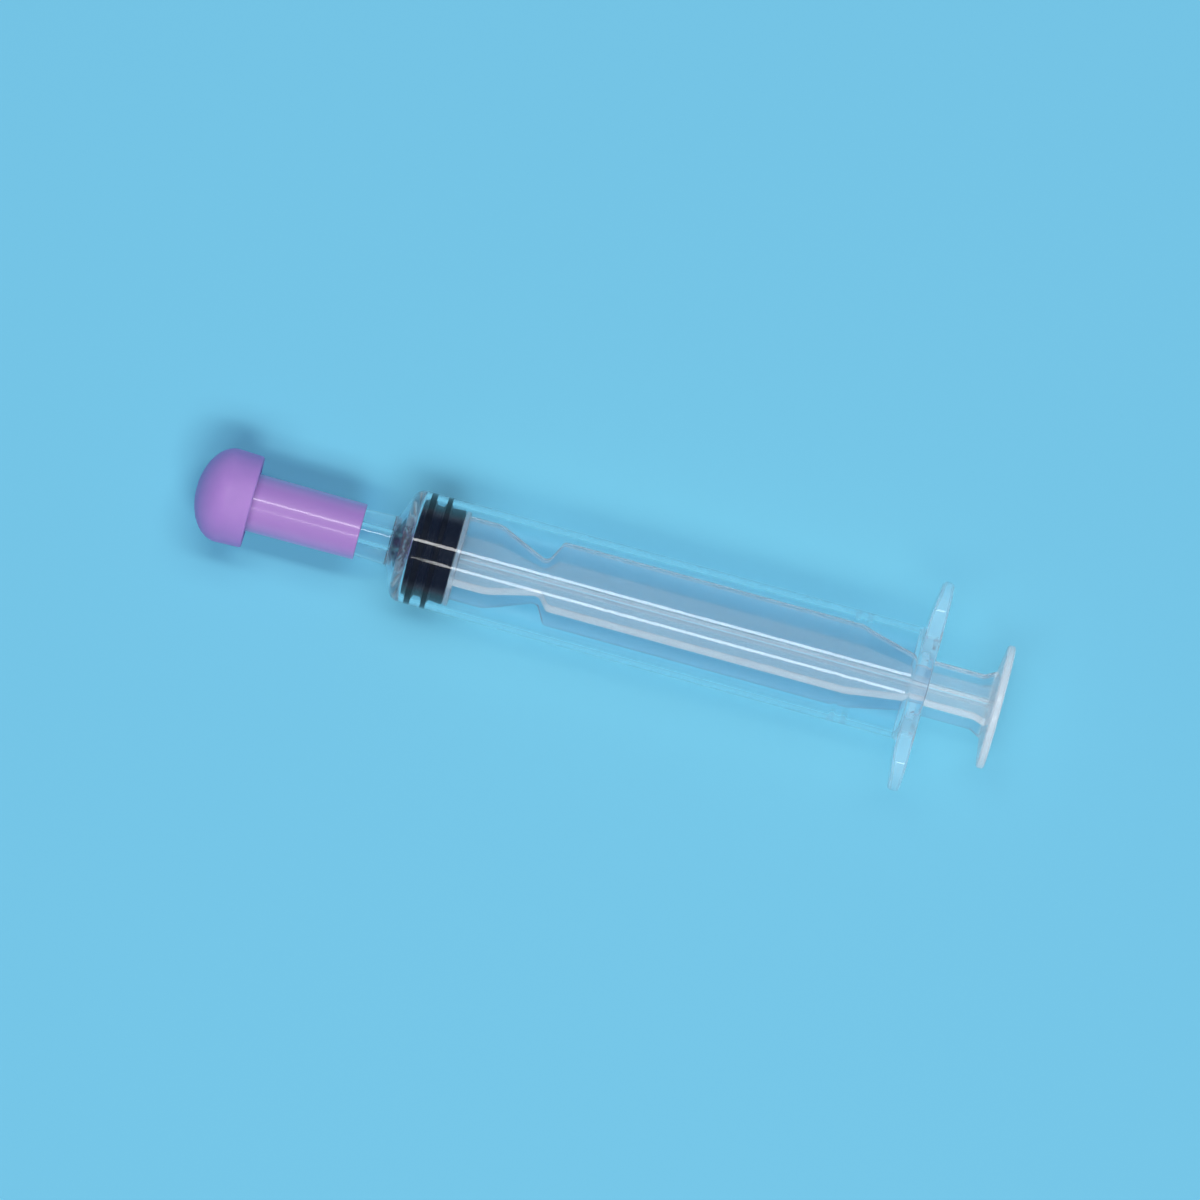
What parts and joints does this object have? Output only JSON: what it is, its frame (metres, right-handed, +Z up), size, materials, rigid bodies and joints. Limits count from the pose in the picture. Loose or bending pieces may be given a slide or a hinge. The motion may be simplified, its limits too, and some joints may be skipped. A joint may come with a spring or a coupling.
{
  "type": "oral syringe",
  "caption": "Clear oral dosing syringe with a sliding vaned plunger, black rubber seal, finger flange and a soft domed push-on tip for giving liquid medicine by mouth.",
  "frame": {"origin": "under the middle of the syringe's length, on the surface it lies on, directly below its axis", "axes": "+X along the syringe from the soft tip to the thumb disc, +Y across the finger flange's long way, +Z up through the syringe as it lies on its flange"},
  "size_m": [0.1232, 0.0318, 0.019],
  "materials": {
    "clear_polypropylene": "clear, glossy, very slightly hazy",
    "natural_polypropylene": "translucent natural, semi gloss",
    "black_rubber": "smooth, silicone oiled",
    "purple_plastic": "glossy",
    "purple_elastomer": "soft satin"
  },
  "bodies": {
    "barrel": {"barrel": "clear_polypropylene"},
    "seal": {"plunger_seal": "black_rubber"},
    "rod": {"plunger_rod": "natural_polypropylene"},
    "tip": {"tip_sleeve": "purple_plastic", "soft_tip": "purple_elastomer"}
  },
  "joints": [
    {"name": "plunger_slide", "type": "slide", "parent": "barrel", "child": "seal", "axis": [1, 0, 0], "range_m": [0, 0.061]},
    {"name": "rod_spin", "type": "hinge", "parent": "seal", "child": "rod", "pos_m": [-0.0225, 0, 0.0095], "axis": [1, 0, 0], "continuous": true},
    {"name": "tip_pull_off", "type": "slide", "parent": "barrel", "child": "tip", "axis": [-1, 0, 0], "range_m": [0, 0.02]}
  ]
}
